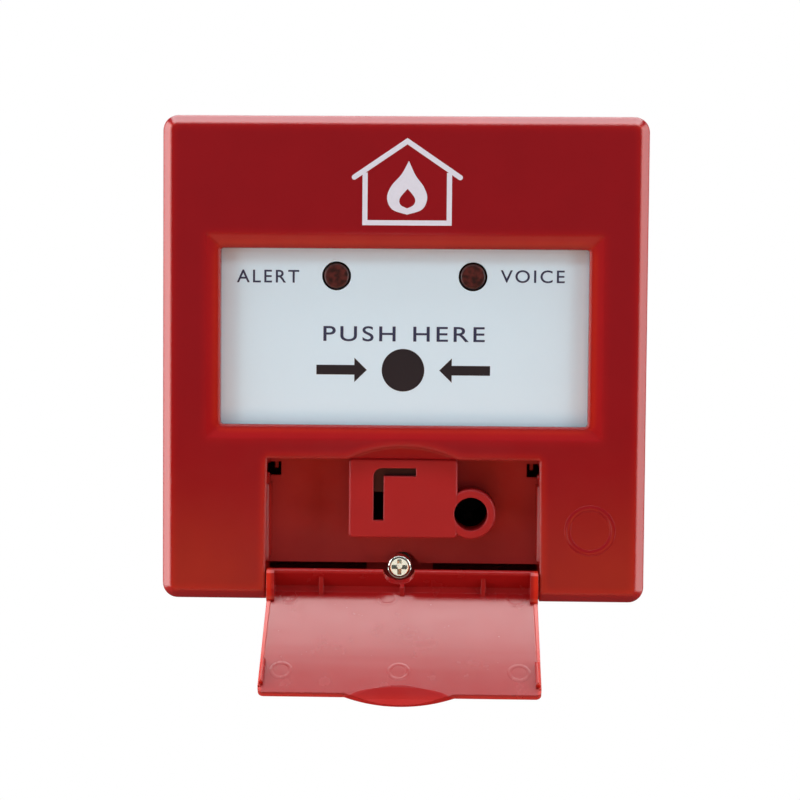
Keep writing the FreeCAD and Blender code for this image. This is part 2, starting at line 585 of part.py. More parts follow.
def reset_slider():
    web = (SLIDER_WEB_X0, SLIDER_WEB_X1)
    front_y = KEY_FRONT_Y + KEY_WALL + 0.3
    shoe = box(-7.0, 4.2, front_y, front_y + 1.5, SLIDER_LOW_Z, SLIDER_TOP_Z)
    stem = box(*web, front_y + 1, -32.4, SLIDER_LOW_Z, SLIDER_TOP_Z)
    riser = box(*web, BAY_BACK_Y + 0.9, -32.4, SLIDER_LOW_Z, -13.8)
    head = box(*web, BAY_BACK_Y + 0.9, -29.4, -14.6, -6.4)
    (y, z), (dy, dz) = CAM_PEG, CAM_RUN
    r = 1.05
    ends = [cyl_x(y, z, r, 0, 3), cyl_x(y + dy, z + dz, r, 0, 3)]
    long = math.hypot(dy, dz)
    ny, nz = -dz / long * r, dy / long * r
    bar = prism_x(((y + ny, z + nz), (y + dy + ny, z + dz + nz), (y + dy - ny, z + dz - nz), (y - ny, z - nz)), 0, 3)
    return cut(fuse(shoe, stem, riser, head), *ends, bar)


def slider_spring():
    """Compression spring under the reset slider, standing on the floor of the key block."""
    wire_r, mean_r, turns = 0.3, 1.2, 6
    floor = KEY_LOW_Z + 1.5
    height = SLIDER_LOW_Z - floor - 2 * wire_r - 0.1
    helix = Part.makeHelix(height / turns, height, mean_r)
    profile = Part.Wire([Part.makeCircle(wire_r, V(mean_r, 0, 0), V(0, 1, 0))])
    spring = Part.Wire(helix.Edges).makePipeShell([profile], True, True)
    spring.translate(V((SLIDER_WEB_X0 + SLIDER_WEB_X1) / 2, SLIDER_SPRING_Y, floor + wire_r + 0.05))
    return spring


# ---- Electrical parts ----------------------------------------------------------------------
def circuit_board():
    board = box(-BOARD_HALF_X, BOARD_HALF_X, BOARD_Y0, BOARD_Y1, BOARD_Z0, BOARD_Z1)
    holes = [cyl_y(x, z, 1.4, BOARD_Y0 - 1, BOARD_Y1 + 1) for x, z in BOARD_POSTS]
    slots = [box(PLUNGER_X - 0.55, PLUNGER_X + 0.55, BOARD_Y0 - 1, BOARD_Y1 + 1, z - 0.15, z + 0.65)
             for z in SWITCH_PIN_Z]
    return cut(board, *holes, *slots)


def board_screws():
    return solids([pan_screw(x, z, BOARD_Y1, 1, 2.5, 1.6, 1.1, 7.0) for x, z in BOARD_POSTS])


def led(x):
    bead = cyl_y(x, LED_Z, LED_R, -42.15, -37.4)
    rim = [e for e in bead.Edges if e.BoundBox.YMax < -42.1]
    bead = bead.makeFillet(0.5, rim)
    return fuse(bead, cyl_y(x, LED_Z, 2.9, -37.4, -36.4))


def led_spacers():
    tubes = []
    for x in (-LED_X, LED_X):
        tubes.append(cut(cyl_y(x, LED_Z, 3.4, -36.4, BOARD_Y0), cyl_y(x, LED_Z, 2.2, -37.0, BOARD_Y0 + 1)))
    return solids(tubes)


def microswitch_body():
    body = rounded_y(SWITCH_X0, SWITCH_X1, SWITCH_Z0, SWITCH_Z1, 0.5, SWITCH_FRONT_Y, BOARD_Y0)
    y, z = LEVER_PIVOT
    ears = [box(x, x + 1.0, SWITCH_FRONT_Y - 1.3, SWITCH_FRONT_Y + 0.3, z - 1.2, z + 1.2)
            for x in (SWITCH_X0 + 0.3, SWITCH_X1 - 1.3)]
    plunger_way = cyl_y(PLUNGER_X, PLUNGER_Z, 0.85, SWITCH_FRONT_Y - 1, SWITCH_FRONT_Y + 4.5)
    axle_hole = cyl_x(y, z, 0.45, SWITCH_X0, SWITCH_X1)
    return cut(fuse(body, *ears), plunger_way, axle_hole)


def switch_pins():
    half = 0.4
    return solids([box(PLUNGER_X - half, PLUNGER_X + half, BOARD_Y0, BOARD_Y1 + 2.0, z, z + 0.5)
                   for z in SWITCH_PIN_Z])


def plunger():
    stem = cyl_y(PLUNGER_X, PLUNGER_Z, 0.78, SWITCH_FRONT_Y - 1.05, SWITCH_FRONT_Y + 3.2)
    return stem.makeFillet(0.3, [e for e in stem.Edges if e.BoundBox.YMax < SWITCH_FRONT_Y - 1.0])


def lever():
    y, z = LEVER_PIVOT
    x0, x1 = SWITCH_X0 + 1.5, SWITCH_X1 - 1.5
    strip = box(x0, x1, y - 0.15, y + 0.15, z - LEVER_LENGTH, z)
    hub = cyl_x(y, z, 0.5, x0, x1)
    axle = cyl_x(y, z, 0.4, SWITCH_X0 + 0.4, SWITCH_X1 - 0.4)
    return turn_about_x(fuse(strip, hub, axle), y, z, -LEVER_LIFT)


def terminal_block():
    ways, pitch = 6, 5.08
    x0 = -ways * pitch / 2
    body = box(x0, -x0, BOARD_Y1, BOARD_Y1 + 10.0, -12.0, -2.5)
    body = body.makeChamfer(1.5, edges_in(body, (-99, BOARD_Y1 + 9.9, -2.6), (99, 99, -2.4)))
    holes = []
    for i in range(ways):
        x = x0 + pitch * (i + 0.5)
        holes.append(cyl_y(x, -7.6, 1.75, BOARD_Y1 + 6.5, BOARD_Y1 + 11))
        holes.append(box(x - 1.6, x + 1.6, BOARD_Y1 + 1.5, BOARD_Y1 + 5.0, -13.0, -6.0))
    return cut(body, *holes)


def terminal_screws():
    ways, pitch = 6, 5.08
    screws = []
    for i in range(ways):
        x = pitch * (i + 0.5 - ways / 2)
        head = cyl_y(x, -7.6, 1.6, BOARD_Y1 + 6.5, BOARD_Y1 + 8.3)
        screws.append(cut(head, box(x - 1.7, x + 1.7, BOARD_Y1 + 7.6, BOARD_Y1 + 9, -7.85, -7.35)))
    return solids(screws)


def resistors():
    pieces = []
    y = BOARD_Y0 - 1.4
    for x in (-30.0, -25.0, -20.0):
        body = cyl_z(x, y, 1.1, -3.0, 3.4)
        lead = cyl_z(x, y, 0.25, -5.0, 5.4)
        legs = [cyl_y(x, z, 0.32, y - 0.32, BOARD_Y0) for z in (-5.0, 5.4)]
        pieces.append(fuse(body, lead, *legs))
    return solids(pieces)


def capacitor():
    can = cyl_y(-32.0, 14.0, 3.15, BOARD_Y0 - 7.0, BOARD_Y0)
    return can.makeFillet(0.5, [e for e in can.Edges if e.BoundBox.YMax < BOARD_Y0 - 6.9])


def jack_body():
    body = rounded_y(JACK_X - 7.0, JACK_X + 7.0, JACK_Z - 6.5, JACK_Z + 6.5, 1.0, PANEL_REAR_Y, -8.5)
    bore = cyl_y(JACK_X, JACK_Z, JACK_R, PANEL_REAR_Y - 1, -10.0)
    slots = [box(JACK_X - 1.2, JACK_X + 1.2, y0, y0 + 11.0, JACK_Z + sz - 1.9, JACK_Z + sz + 1.9)
             for y0, sz in ((-30.0, 5.0), (-22.0, -5.0))]
    return cut(body, bore, *slots)


def jack_contacts():
    strips = []
    for y0, side in ((-30.0, 1), (-22.0, -1)):
        z = JACK_Z + side * 4.3
        strips.append(box(JACK_X - 0.9, JACK_X + 0.9, y0 + 0.3, y0 + 10.7, z - 0.2, z + 0.2))
        strips.append(box(JACK_X - 0.9, JACK_X + 0.9, y0 + 10.3, y0 + 10.7, min(z, z + side * 4.2),
                          max(z, z + side * 4.2)))
    return solids([fuse(strips[0], strips[1]), fuse(strips[2], strips[3])])


# ---- Cover fixing --------------------------------------------------------------------------
def cover_screw():
    head = cyl_y(SCREW_X, SCREW_Z, SCREW_HEAD_R, SCREW_HEAD_Y0, SCREW_HEAD_Y1)
    rim = [e for e in head.Edges if e.BoundBox.YMax < SCREW_HEAD_Y0 + 0.1]
    head = head.makeFillet(0.75, rim)
    recess = cross_recess(SCREW_X, SCREW_Z, SCREW_HEAD_Y0 - 0.05, 1.4, 1.6, 0.42)
    shank = cyl_y(SCREW_X, SCREW_Z, 1.9, SCREW_HEAD_Y1, -13.5)
    return fuse(cut(head, recess), shank)


def captive_washer():
    ring = cyl_y(SCREW_X, SCREW_Z, 3.6, LUG_Y1 + 0.2, LUG_Y1 + 1.0)
    return cut(ring, cyl_y(SCREW_X, SCREW_Z, 1.93, LUG_Y1, LUG_Y1 + 2))


def screw_insert():
    sleeve = cyl_y(SCREW_X, SCREW_Z, 2.88, SPLIT_Y - 3.0, SPLIT_Y + 4.0)
    return cut(sleeve, cyl_y(SCREW_X, SCREW_Z, 1.95, SPLIT_Y - 4, SPLIT_Y + 5))


# ---- Output --------------------------------------------------------------------------------
PARTS = {
    "back_box": back_box,
    "front_cover": front_cover,
    "chassis": chassis,
    "key_bezel": key_bezel,
    "chassis_screws": chassis_screws,
    "door": door,
    "press_plate": press_plate,
    "pivot_rod": pivot_rod,
    "return_spring": return_spring,
    "reset_slider": reset_slider,
    "slider_spring": slider_spring,
    "circuit_board": circuit_board,
    "board_screws": board_screws,
    "left_led": lambda: led(-LED_X),
    "right_led": lambda: led(LED_X),
    "led_spacers": led_spacers,
    "microswitch_body": microswitch_body,
    "switch_pins": switch_pins,
    "switch_plunger": plunger,
    "switch_lever": lever,
    "terminal_block": terminal_block,
    "terminal_screws": terminal_screws,
    "resistors": resistors,
    "capacitor": capacitor,
    "jack_body": jack_body,
    "jack_contacts": jack_contacts,
    "cover_screw": cover_screw,
    "captive_washer": captive_washer,
    "screw_insert": screw_insert,
}

os.makedirs("parts", exist_ok=True)
for node, make in PARTS.items():
    shape = make()
    shape.exportStep("parts/" + node + ".step")
    print(node, len(shape.Solids), round(shape.Volume, 1), shape.isValid())
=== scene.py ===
import json
import math

import bmesh
import bpy
from mathutils import Matrix, Vector
from mathutils.geometry import tessellate_polygon

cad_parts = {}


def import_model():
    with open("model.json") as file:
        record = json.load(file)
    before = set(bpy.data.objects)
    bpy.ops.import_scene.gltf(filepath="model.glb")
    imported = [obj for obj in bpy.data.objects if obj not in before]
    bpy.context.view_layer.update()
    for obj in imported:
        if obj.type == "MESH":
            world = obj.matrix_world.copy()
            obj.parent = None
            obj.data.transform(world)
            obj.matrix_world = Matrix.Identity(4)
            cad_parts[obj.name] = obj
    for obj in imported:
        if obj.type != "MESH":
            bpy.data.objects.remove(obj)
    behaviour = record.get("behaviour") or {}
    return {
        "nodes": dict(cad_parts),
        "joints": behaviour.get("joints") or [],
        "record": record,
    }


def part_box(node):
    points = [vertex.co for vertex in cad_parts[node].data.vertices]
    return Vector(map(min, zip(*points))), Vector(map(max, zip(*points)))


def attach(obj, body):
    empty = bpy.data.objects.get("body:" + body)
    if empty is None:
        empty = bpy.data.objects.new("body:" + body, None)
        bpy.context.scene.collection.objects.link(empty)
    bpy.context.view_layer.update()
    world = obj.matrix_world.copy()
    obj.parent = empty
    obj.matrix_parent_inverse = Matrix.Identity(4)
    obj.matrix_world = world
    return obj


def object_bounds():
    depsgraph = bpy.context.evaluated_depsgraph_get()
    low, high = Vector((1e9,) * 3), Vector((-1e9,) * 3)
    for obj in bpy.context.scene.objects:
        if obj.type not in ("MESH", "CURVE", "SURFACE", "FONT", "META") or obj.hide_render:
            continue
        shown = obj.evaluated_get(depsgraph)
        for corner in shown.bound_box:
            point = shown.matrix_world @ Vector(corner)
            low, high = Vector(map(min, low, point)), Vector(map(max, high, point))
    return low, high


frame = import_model()
cad_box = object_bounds()
MM = 0.001

# ---- Places on the object at rest ----------------------------------------------------------
FACE_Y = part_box("front_cover")[0].y      # front face of the cover
PLATE_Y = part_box("press_plate")[0].y     # front face of the press plate
INK = 0.02 * MM                          # thickness of printed ink
MARK_Z = -2.13                           # height of the dot and the arrows, in millimetres

SCOOP_R = 24.4 * MM                      # round outline of the finger scoop above the bay
SCOOP_MIDDLE_Z = -41.45 * MM
SCOOP_LOW_Z = -20.3 * MM                 # just below the bay's upper edge
SCOOP_DEPTH = 3.0 * MM

HINGE = next(j for j in frame["joints"] if j["name"] == "door_hinge")
HINGE_PLACE = Vector(HINGE["pos_m"])
DOOR_OPEN = -math.radians(HINGE["range_deg"][0])
DOOR_PLATE = 1.2 * MM                    # thickness of the door's sheet
SHEET_TOP_Z = -46.6 * MM                 # the open door's sheet hangs from its hinge flange, here,
SHEET_LOW_Z = -62.5 * MM                 # down to here
TAB_MIDDLE = (0.0, -62.0 * MM, -62.6 * MM)      # dish of the open door's finger tab
TAB_REACH = (10.4 * MM, 5.0 * MM, 2.0 * MM)
RIM_X = 25.8 * MM                        # where the door's rim begins, to each side
RIM_Z = -61.9 * MM                       # and at its free edge

# ---- Pigments and painted light ------------------------------------------------------------
RED = (0.262, 0.0066, 0.0105)            # flat front of the cover
RED_LIT_PAINT = (0.345, 0.0076, 0.0105)        # painted light: brighter where the front begins to round off
# painted light: lighter red on the steep walls
RED_SIDE_LIT_PAINT = (0.33, 0.0075, 0.0050)
# painted highlight: orange along the edge of a chamfer
RED_EDGE_HIGHLIGHT = (0.52, 0.030, 0.008)
RED_DOOR = (0.33, 0.0085, 0.009)
# painted glow: clear orange red on the door's sides and free edge
RED_RIM_GLOW = (0.57, 0.020, 0.008)
DOOR_ROUGH = 0.26
DOOR_SHINE = 0.80

# ---- Camera --------------------------------------------------------------------------------
LENS = 68.76                             # millimetres, on a sensor 36 mm wide
CAMERA_PLACE = (6.264 * MM, -343.3 * MM, 4.894 * MM)
CAMERA_TURN = (1.332, 2.452, 0.46)       # azimuth, elevation and roll, in degrees


def camera():
    """Close in front of the object, a little to its right and above its middle."""
    data = bpy.data.cameras.new("camera")
    data.lens = LENS
    data.sensor_width = 36.0
    data.clip_start = 0.01
    obj = bpy.data.objects.new("camera", data)
    bpy.context.scene.collection.objects.link(obj)
    azimuth, elevation, roll = (math.radians(a) for a in CAMERA_TURN)
    turn = (Matrix.Rotation(azimuth, 4, "Z") @ Matrix.Rotation(math.pi / 2 - elevation, 4, "X")
            @ Matrix.Rotation(roll, 4, "Z"))
    obj.matrix_world = Matrix.Translation(CAMERA_PLACE) @ turn
    bpy.context.scene.camera = obj


# ---- Room and light ------------------------------------------------------------------------
def white_behind(tree, dim, output):
    """White where the camera looks at it, and the dim shader for everything that it lights."""
    nodes, links = tree.nodes, tree.links
    path = nodes.new("ShaderNodeLightPath")
    mix = nodes.new("ShaderNodeMixShader")
    links.new(path.outputs["Is Camera Ray"], mix.inputs[0])
    links.new(dim.outputs[0], mix.inputs[1])
    white = nodes.new("ShaderNodeBackground" if output.type == "OUTPUT_WORLD" else "ShaderNodeEmission")
    white.inputs["Color"].default_value = (1, 1, 1, 1)
    white.inputs["Strength"].default_value = 1.0
    links.new(white.outputs[0], mix.inputs[2])
    links.new(mix.outputs[0], output.inputs["Surface"])


def world():
    made = bpy.data.worlds.new("studio")
    bpy.context.scene.world = made
    made.use_nodes = True
    tree = made.node_tree
    tree.nodes.clear()
    dim = tree.nodes.new("ShaderNodeBackground")
    dim.inputs["Color"].default_value = (0.9, 0.93, 1.0, 1)
    dim.inputs["Strength"].default_value = 0.10
    white_behind(tree, dim, tree.nodes.new("ShaderNodeOutputWorld"))


def floor():
    """Wide floor, well below the object, which hangs on a wall when in use."""
    drop, half_width = 0.28, 6.0
    bm = bmesh.new()
    bmesh.ops.create_grid(bm, x_segments=1, y_segments=1, size=half_width)
    mesh = bpy.data.meshes.new("floor")
    bm.to_mesh(mesh)
    bm.free()
    obj = bpy.data.objects.new("floor", mesh)
    obj.location.z = cad_box[0][2] - drop
    bpy.context.scene.collection.objects.link(obj)
    mat = bpy.data.materials.new("pale_floor")
    mat.use_nodes = True
    tree = mat.node_tree
    tree.nodes.clear()
    dim = tree.nodes.new("ShaderNodeBsdfDiffuse")
    dim.inputs["Color"].default_value = (0.13, 0.09, 0.08, 1)
    white_behind(tree, dim, tree.nodes.new("ShaderNodeOutputMaterial"))
    mesh.materials.append(mat)


def softbox(name, place, target, size, radiance, colour=(1, 1, 1)):
    """An area light of even radiance that the camera doesn't see."""
    data = bpy.data.lights.new(name, "AREA")
    data.shape = "RECTANGLE"
    data.size, data.size_y = size
    data.energy = radiance * math.pi * size[0] * size[1]
    data.color = colour
    obj = bpy.data.objects.new(name, data)
    bpy.context.scene.collection.objects.link(obj)
    obj.location = place
    obj.rotation_euler = (Vector(target) - Vector(place)).to_track_quat("-Z", "Y").to_euler()
    obj.visible_camera = False


def lights():
    """White and cool light from above, white from the sides and from behind, orange from low in
    front, and one card that the cover screw mirrors."""
    softbox("overhead_strip", (0, -0.13, 0.75), (0, -0.13, 0), (1.1, 0.20), 5.8)
    softbox("overhead_back", (0, 0.30, 0.75), (0, 0.30, 0), (1.1, 0.60), 5.1, (0.93, 0.975, 1.0))
    softbox("overhead_front", (0, -0.48, 0.66), (0, -0.05, 0), (1.1, 0.20), 3.2, (0.88, 0.96, 1.0))
    softbox("left", (-0.65, -0.08, 0.05), (0, -0.04, 0), (0.62, 0.9), 4.3)
    softbox("right", (0.65, -0.08, 0.05), (0, -0.04, 0), (0.62, 0.9), 3.0)
    softbox("left_front", (-0.60, -0.42, -0.02), (0, -0.04, -0.01), (0.18, 0.8), 2.2)
    softbox("right_front", (0.60, -0.42, -0.02), (0, -0.04, -0.01), (0.18, 0.8), 2.2)
    softbox("front_low", (0, -0.36, -0.44), (0, -0.04, 0), (0.9, 0.40), 2.0, (1.0, 0.42, 0.24))
    softbox("near_low", (0, -0.19, -0.21), (0, -0.045, -0.04), (0.3, 0.08), 2.7, (1.0, 0.38, 0.22))
    for side, middle, width in (("left", -0.2875, 0.325), ("right", 0.2675, 0.365)):
        softbox("warm_front_" + side, (middle, -1.0, -0.275), (middle, 0, -0.275), (width, 0.25),
                2.1, (1.0, 0.26, 0.07))
    softbox("screw_card", (-0.0225, -1.0, -0.19), (-0.0225, 0, -0.19), (0.12, 0.12), 1.5,
            (1.0, 1.0, 0.92))
    softbox("back_fill", (0.3, 1.3, 0.3), (0, 0, 0), (1.2, 1.0), 0.9)


# ---- Building a material -------------------------------------------------------------------
class Look:
    """A Principled material whose colour, roughness and bump come from noise in object space."""

    def __init__(self, name):
        self.name = name
        self.mat = bpy.data.materials.new(name)
        self.mat.use_nodes = True
        self.tree = self.mat.node_tree
        self.shader = self.tree.nodes["Principled BSDF"]
        self.place = self.node("ShaderNodeTexCoord").outputs["Object"]
        self.normal = None               # end of the chain of bumps and bevels

    def node(self, kind, **values):
        made = self.tree.nodes.new(kind)
        for key, value in values.items():
            setattr(made, key, value)
        return made

    def feed(self, value, socket):
        """Links an output to the socket, or sets a plain value on it."""
        if isinstance(value, bpy.types.NodeSocket):
            self.tree.links.new(value, socket)
        else:
            socket.default_value = value

    # Patterns and arithmetic: each gives an output socket.
    def stretched(self, scale):
        mapping = self.node("ShaderNodeMapping")
        mapping.inputs["Scale"].default_value = scale
        self.feed(self.place, mapping.inputs["Vector"])
        return mapping.outputs["Vector"]

    def noise(self, size, detail=2.0, place=None):
        """Noise with features of about `size` metres."""
        made = self.node("ShaderNodeTexNoise")
        made.inputs["Scale"].default_value = 1.0 / size
        made.inputs["Detail"].default_value = detail
        self.feed(place or self.place, made.inputs["Vector"])
        return made.outputs["Fac"]

    def ramp(self, source, stops):
        made = self.node("ShaderNodeValToRGB")
        ends = made.color_ramp.elements
        for i, (at, colour) in enumerate(stops):
            stop = ends[i] if i < 2 else ends.new(at)
            stop.position = at
            stop.color = (*colour, 1)
        self.feed(source, made.inputs["Fac"])
        return made.outputs["Color"]

    def spread(self, source, low, high, start=0.3, stop=0.7):
        """Goes from low to high while the source goes from start to stop."""
        made = self.node("ShaderNodeMapRange")
        for key, value in zip(("From Min", "From Max", "To Min", "To Max"), (start, stop, low, high)):
            made.inputs[key].default_value = value
        self.feed(source, made.inputs["Value"])
        return made.outputs["Result"]

    def calc(self, operation, *values):
        made = self.node("ShaderNodeMath", operation=operation)
        for value, socket in zip(values, made.inputs):
            self.feed(value, socket)
        return made.outputs[0]

    def vector(self, operation, *values):
        made = self.node("ShaderNodeVectorMath", operation=operation)
        for value, socket in zip(values, made.inputs):
            self.feed(value, socket)
        return made.outputs["Value" if operation == "LENGTH" else "Vector"]

    def split(self, vector=None):
        """The X, Y and Z outputs of a vector, or of the place on the object."""
        made = self.node("ShaderNodeSeparateXYZ")
        self.feed(vector or self.place, made.inputs[0])
        return made.outputs

    def mix(self, kind, factor, a, b, blend_type="MIX"):
        made = self.node("ShaderNodeMix", data_type=kind, blend_type=blend_type)
        for name, value in (("Factor", factor), ("A", a), ("B", b)):
            self.feed(value, made.inputs[name])
        return made.outputs["Result"]

    def pigment(self):
        """What feeds the colour so far."""
        return self.shader.inputs["Base Color"].links[0].from_socket

    # Inputs of the shader.
    def set(self, **values):
        for key, value in values.items():
            self.shader.inputs[key.replace("_", " ")].default_value = value

    def colour(self, source):
        self.feed(source, self.shader.inputs["Base Color"])

    def rough(self, source):
        self.feed(source, self.shader.inputs["Roughness"])

    def shine(self, source):
        self.feed(source, self.shader.inputs["Specular IOR Level"])

    def turn_normal(self, made):
        """Adds a bump or bevel node at the end of the chain."""
        if self.normal is not None:
            self.feed(self.normal, made.inputs["Normal"])
        self.normal = made.outputs["Normal"]
        self.feed(self.normal, self.shader.inputs["Normal"])

    def bump(self, source, depth):
        made = self.node("ShaderNodeBump")
        made.inputs["Distance"].default_value = depth
        made.inputs["Strength"].default_value = 1.0
        self.feed(source, made.inputs["Height"])
        self.turn_normal(made)

    def bevel(self, radius):
        made = self.node("ShaderNodeBevel", samples=6)
        made.inputs["Radius"].default_value = radius
        return made

    def soft_edges(self, radius):
        self.turn_normal(self.bevel(radius))


def shade(colour, factor):
    return tuple(c * factor for c in colour)


# ---- Kinds of material ---------------------------------------------------------------------
def moulded(name, colour, rough, grain, grain_depth, sink=0.0, scuffs=0.0, edge=0.0, cloudy=0.05):
    """Moulded plastic: cloudy pigment, uneven gloss, fine grain, faint scuffs and soft edges."""
    look = Look(name)
    look.set(IOR=1.49)
    cloud = look.noise(14 * MM, 3.0)
    look.colour(look.ramp(cloud, ((0.3, shade(colour, 1 - cloudy)), (0.7, shade(colour, 1 + cloudy)))))
    look.rough(look.spread(look.noise(4 * MM, 4.0), rough * 0.88, rough * 1.14))
    look.bump(look.noise(grain), grain_depth)
    if sink:
        look.bump(look.noise(22 * MM, 1.0), sink)
    if scuffs:
        lines = look.noise(1.0, 3.0, look.stretched((60, 900, 900)))
        look.bump(look.spread(lines, 0.0, 1.0, 0.62, 0.72), scuffs)
    if edge:
        look.soft_edges(edge)
    return look


def metal(name, colour, rough, along=(40, 3000, 3000), depth=0.002 * MM):
    """Metal with fine drawn or turned lines and a little tarnish."""
    look = Look(name)
    look.set(Metallic=1.0)
    tarnish = look.noise(1.2 * MM, 4.0)
    look.colour(look.ramp(tarnish, ((0.35, shade(colour, 0.8)), (0.65, colour))))
    look.rough(look.spread(tarnish, rough * 0.8, rough * 1.3))
    look.bump(look.noise(1.0, 2.0, look.stretched(along)), depth)
    return look


def ink(name, colour):
    """Screen printed ink, slightly uneven."""
    look = Look(name)
    patch = look.noise(0.6 * MM, 3.0)
    look.colour(look.ramp(patch, ((0.35, shade(colour, 0.98)), (0.65, shade(colour, 1.01)))))
    look.rough(look.spread(patch, 0.36, 0.44))
    look.bump(look.noise(0.3 * MM), 0.0004 * MM)
    return look


# ---- The cover's red -----------------------------------------------------------------------
def paint_light_by_slope(look):
    """Painted light by slope: the plain red on the flat front, a painted brighter red as its edges
    begin to round off, a painted orange highlight along the edge of a chamfer, a lighter painted red on
    steep walls, and the plain pigment where a surface faces up or down."""
    facing = look.split(look.bevel(2.6 * MM).outputs["Normal"])
    turned = look.spread(facing["Y"], 0.0, 1.0, -1.0, 0.0)
    # painted light: lighter red where the front rounds off and on steep walls, and a painted orange
    # highlight along a chamfer's edge
    painted_light = look.ramp(turned, ((0.0, RED), (0.0008, RED), (0.012, RED_LIT_PAINT), (0.062, RED_LIT_PAINT),
                                (0.078, RED_EDGE_HIGHLIGHT), (0.10, RED_EDGE_HIGHLIGHT), (0.15, RED_SIDE_LIT_PAINT), (0.6, RED_SIDE_LIT_PAINT)))
    upright = look.ramp(look.spread(facing["Z"], 0.0, 1.0, -1.0, 1.0),
                        ((0.15, (0, 0, 0)), (0.35, (1, 1, 1)), (0.68, (1, 1, 1)), (0.80, (0, 0, 0))))
    # the painted light replaces the plain pigment, except where a surface faces up or down
    pigment = look.mix("RGBA", upright, look.pigment(), painted_light)
    cloud = look.ramp(look.noise(9 * MM, 3.0), ((0.3, (0.95, 0.95, 0.95)), (0.7, (1, 1, 1))))
    look.colour(look.mix("RGBA", 1.0, pigment, cloud, "MULTIPLY"))


def matt_scoop(look):
    """The finger scoop above the bay has a duller polish than the front."""
    offset = look.vector("SUBTRACT", look.place, (0, 0, SCOOP_MIDDLE_Z))
    radius = look.vector("LENGTH", look.vector("MULTIPLY", offset, (1, 0, 1)))
    inside = look.spread(radius, 1.0, 0.0, SCOOP_R - 0.5 * MM, SCOOP_R - 0.2 * MM)
    at = look.split()
    above = look.calc("GREATER_THAN", at["Z"], SCOOP_LOW_Z)
    in_front = look.calc("LESS_THAN", at["Y"], FACE_Y + SCOOP_DEPTH)
    scoop = look.calc("MULTIPLY", inside, look.calc("MULTIPLY", above, in_front))
    look.shine(look.spread(scoop, 0.5, 0.08, 0.0, 1.0))


def cover_red():
    look = moulded("red_gloss", RED, 0.16, 0.5 * MM, 0.0012 * MM, sink=0.02 * MM,
                   scuffs=0.001 * MM, edge=0.9 * MM)
    paint_light_by_slope(look)
    matt_scoop(look)
    return look


# ---- The door's red ------------------------------------------------------------------------
def door_polish(look):
    """The dish of the finger tab is finely textured, and it and the hinge flange shine less."""
    offset = look.vector("SUBTRACT", look.place, TAB_MIDDLE)
    reach = look.vector("LENGTH", look.vector("DIVIDE", offset, TAB_REACH))
    in_dish = look.spread(reach, 1.0, 0.0, 0.97, 1.03)
    gloss = look.noise(4 * MM, 4.0)
    smooth_rough = look.spread(gloss, DOOR_ROUGH * 0.93, DOOR_ROUGH * 1.08)
    look.rough(look.mix("FLOAT", in_dish, smooth_rough, look.spread(gloss, 0.72, 0.88)))
    outside = look.spread(look.split()["Z"], DOOR_SHINE, 0.30, SHEET_TOP_Z - 0.4 * MM, SHEET_TOP_Z)
    look.shine(look.mix("FLOAT", in_dish, outside, 0.25))


def warp(look):
    """The thin door bows a little along its slope, and its gloss is streaked across."""
    z = look.split()["Z"]
    down = look.spread(z, -0.8, -2.0, SHEET_TOP_Z, SHEET_LOW_Z)
    up = look.spread(z, 0.8, 2.0, SHEET_TOP_Z, SHEET_LOW_Z)
    look.bump(look.calc("MULTIPLY", down, up), 1.1 * MM)
    look.bump(look.noise(1.0, 3.0, look.stretched((25, 400, 400))), 0.02 * MM)


def paint_rim_glow(look):
    """Painted glow for light through the thin plastic: the door's sides and free edge are painted a
    clear orange red, and its finger tab a little."""
    blur = 0.3 * MM
    at = look.split()
    across = look.calc("ABSOLUTE", at["X"])
    sides = look.spread(across, 0.0, 1.0, RIM_X - blur, RIM_X + blur)
    low = look.spread(at["Z"], 1.0, 0.0, RIM_Z - blur, RIM_Z + blur)
    beside_tab = look.spread(across, 0.22, 1.0, TAB_REACH[0] - MM, TAB_REACH[0] + MM)
    rim = look.calc("MAXIMUM", sides, look.calc("MULTIPLY", low, beside_tab))
    # painted glow: orange red on the door's sides and free edge
    look.colour(look.mix("RGBA", rim, look.pigment(), (*RED_RIM_GLOW, 1)))


def door_red():
    look = moulded("red_door", RED_DOOR, DOOR_ROUGH, 0.35 * MM, 0.0015 * MM, sink=0.03 * MM,
                   edge=0.2 * MM, cloudy=0.02)
    door_polish(look)
    warp(look)
    paint_rim_glow(look)
    return look


def door_mark():
    """The door's red without its soft edges, which would outline so low a mark."""
    look = moulded("door_mark", RED_DOOR, DOOR_ROUGH, 0.35 * MM, 0.0015 * MM, sink=0.03 * MM,
                   cloudy=0.02)
    look.set(Specular_IOR_Level=DOOR_SHINE)
    warp(look)
    return look


# ---- Small parts ---------------------------------------------------------------------------
def lamp():
    """Smoky red lens with darker and lighter flecks of the die behind it."""
    look = Look("led_red")
    fleck = look.noise(0.9 * MM, 3.0)
    look.colour(look.ramp(fleck, ((0.38, (0.018, 0.005, 0.004)), (0.62, (0.085, 0.014, 0.011)))))
    look.rough(look.spread(fleck, 0.3, 0.45))
    look.bump(look.noise(0.5 * MM), 0.04 * MM)
    return look


def banded_resistor():
    """Tan with a dark band every 1.6 mm up the body."""
    look = Look("resistor_tan")
    stripes = look.calc("WRAP", look.split()["Z"], 1.6 * MM, 0.0)
    band = look.calc("LESS_THAN", stripes, 0.5 * MM)
    look.colour(look.ramp(band, ((0.0, (0.5, 0.33, 0.16)), (1.0, (0.20, 0.03, 0.02)))))
    look.rough(look.spread(look.noise(1.0 * MM), 0.3, 0.45))
    return look


